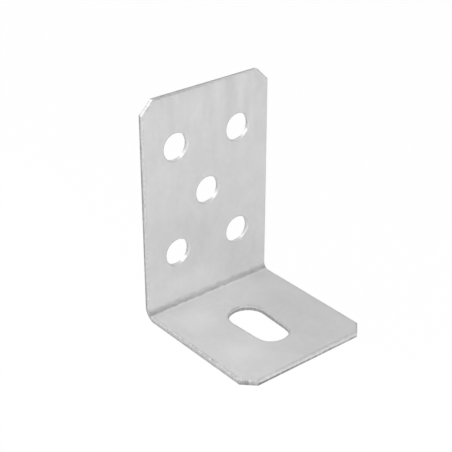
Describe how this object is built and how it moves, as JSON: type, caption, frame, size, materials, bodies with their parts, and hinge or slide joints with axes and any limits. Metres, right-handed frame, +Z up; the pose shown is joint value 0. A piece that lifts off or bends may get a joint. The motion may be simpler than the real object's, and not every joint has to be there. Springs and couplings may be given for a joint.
{
  "type": "angle bracket",
  "caption": "Folded sheet-steel angle bracket with screw holes in its upright leg, a slotted base leg and clipped corners.",
  "frame": {"origin": "middle of the bracket's footprint, on the plane of the base leg's underside", "axes": "+X across the strip, +Y back to the outer face of the upright leg, +Z up the upright leg"},
  "size_m": [0.04, 0.0416, 0.0613],
  "materials": {
    "zinc_coated_steel": "dull galvanised zinc coating over rolled steel sheet, with bright sheared edges"
  },
  "bodies": {
    "root": {"bracket": "zinc_coated_steel"}
  },
  "joints": []
}
